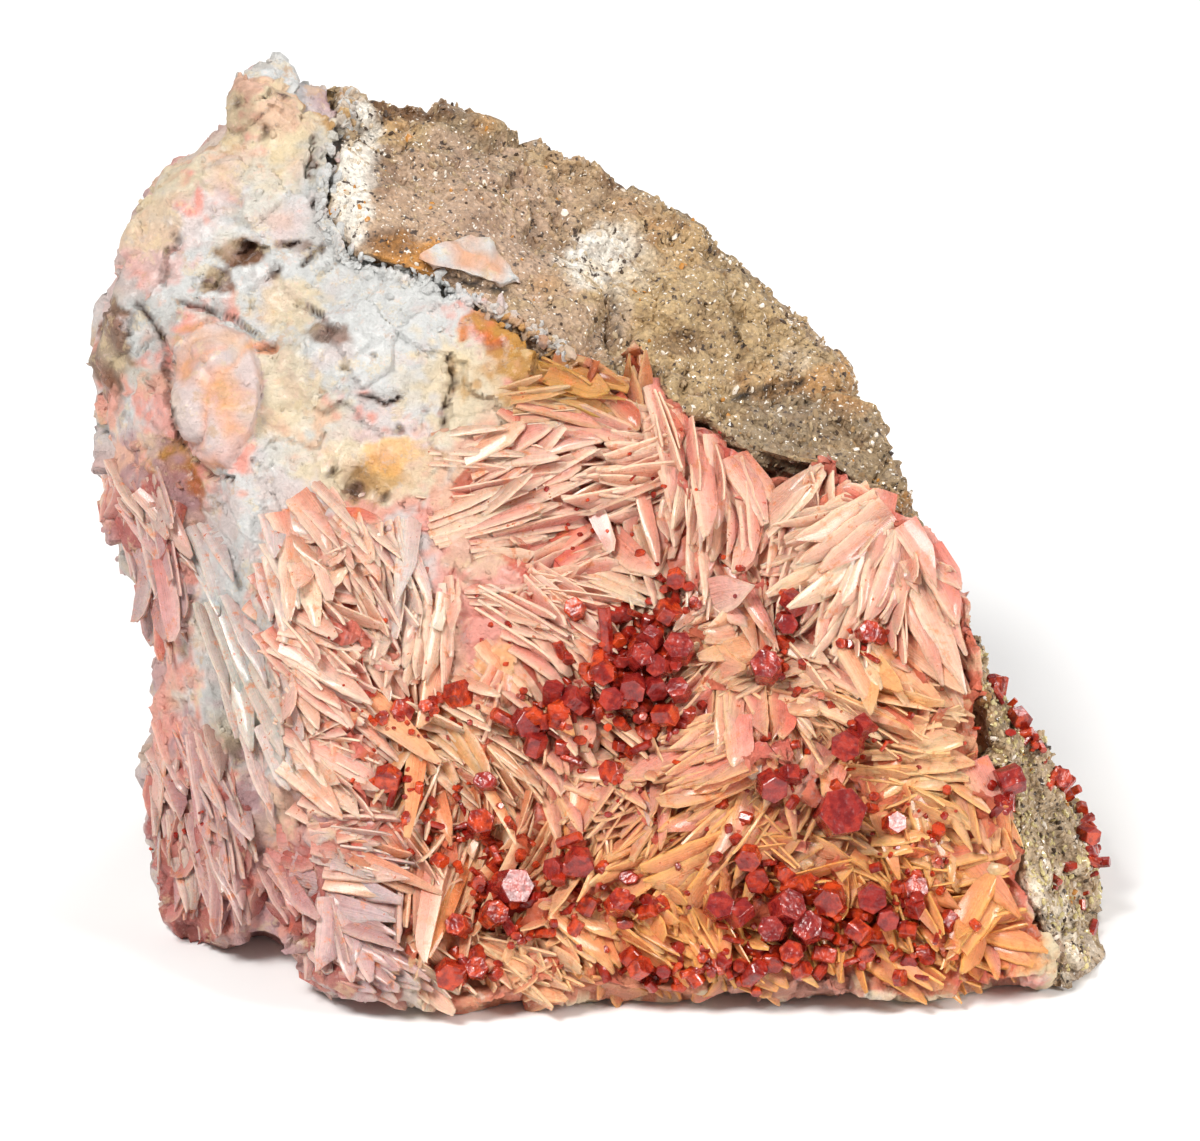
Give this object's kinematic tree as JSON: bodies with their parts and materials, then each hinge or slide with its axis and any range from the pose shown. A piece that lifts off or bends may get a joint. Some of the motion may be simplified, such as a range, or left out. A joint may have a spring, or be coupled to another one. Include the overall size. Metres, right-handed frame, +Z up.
{
  "type": "vanadinite on barite specimen",
  "caption": "Broken lump of sandy rock crusted with bladed pink and white barite, with small red hexagonal vanadinite crystals; stands on a flat base.",
  "frame": {"origin": "middle of the bounding box, on the plane of the flat base", "axes": "+Z up; the crystal face looks towards -Y and leans back; +X to the right as seen from the front"},
  "size_m": [0.1028, 0.073, 0.079],
  "materials": {
    "barite": "satin",
    "sandy_rock": "matte",
    "vanadinite": "gloss"
  },
  "bodies": {
    "root": {"barite": "barite", "sandy_rock": "sandy_rock", "vanadinite_01": "vanadinite", "vanadinite_02": "vanadinite", "vanadinite_03": "vanadinite", "vanadinite_04": "vanadinite", "vanadinite_05": "vanadinite", "vanadinite_06": "vanadinite", "vanadinite_07": "vanadinite", "vanadinite_08": "vanadinite", "vanadinite_09": "vanadinite", "vanadinite_10": "vanadinite", "vanadinite_11": "vanadinite", "vanadinite_12": "vanadinite", "vanadinite_13": "vanadinite", "vanadinite_14": "vanadinite", "vanadinite_15": "vanadinite", "vanadinite_16": "vanadinite", "vanadinite_17": "vanadinite", "vanadinite_18": "vanadinite", "vanadinite_19": "vanadinite", "vanadinite_20": "vanadinite", "vanadinite_21": "vanadinite", "vanadinite_22": "vanadinite", "vanadinite_23": "vanadinite", "vanadinite_24": "vanadinite", "vanadinite_25": "vanadinite", "vanadinite_26": "vanadinite", "vanadinite_27": "vanadinite", "vanadinite_28": "vanadinite", "vanadinite_29": "vanadinite", "vanadinite_30": "vanadinite", "vanadinite_31": "vanadinite", "vanadinite_32": "vanadinite", "vanadinite_33": "vanadinite", "vanadinite_34": "vanadinite", "vanadinite_35": "vanadinite", "vanadinite_36": "vanadinite", "vanadinite_37": "vanadinite", "vanadinite_38": "vanadinite", "vanadinite_39": "vanadinite", "vanadinite_40": "vanadinite", "vanadinite_41": "vanadinite"}
  },
  "joints": []
}
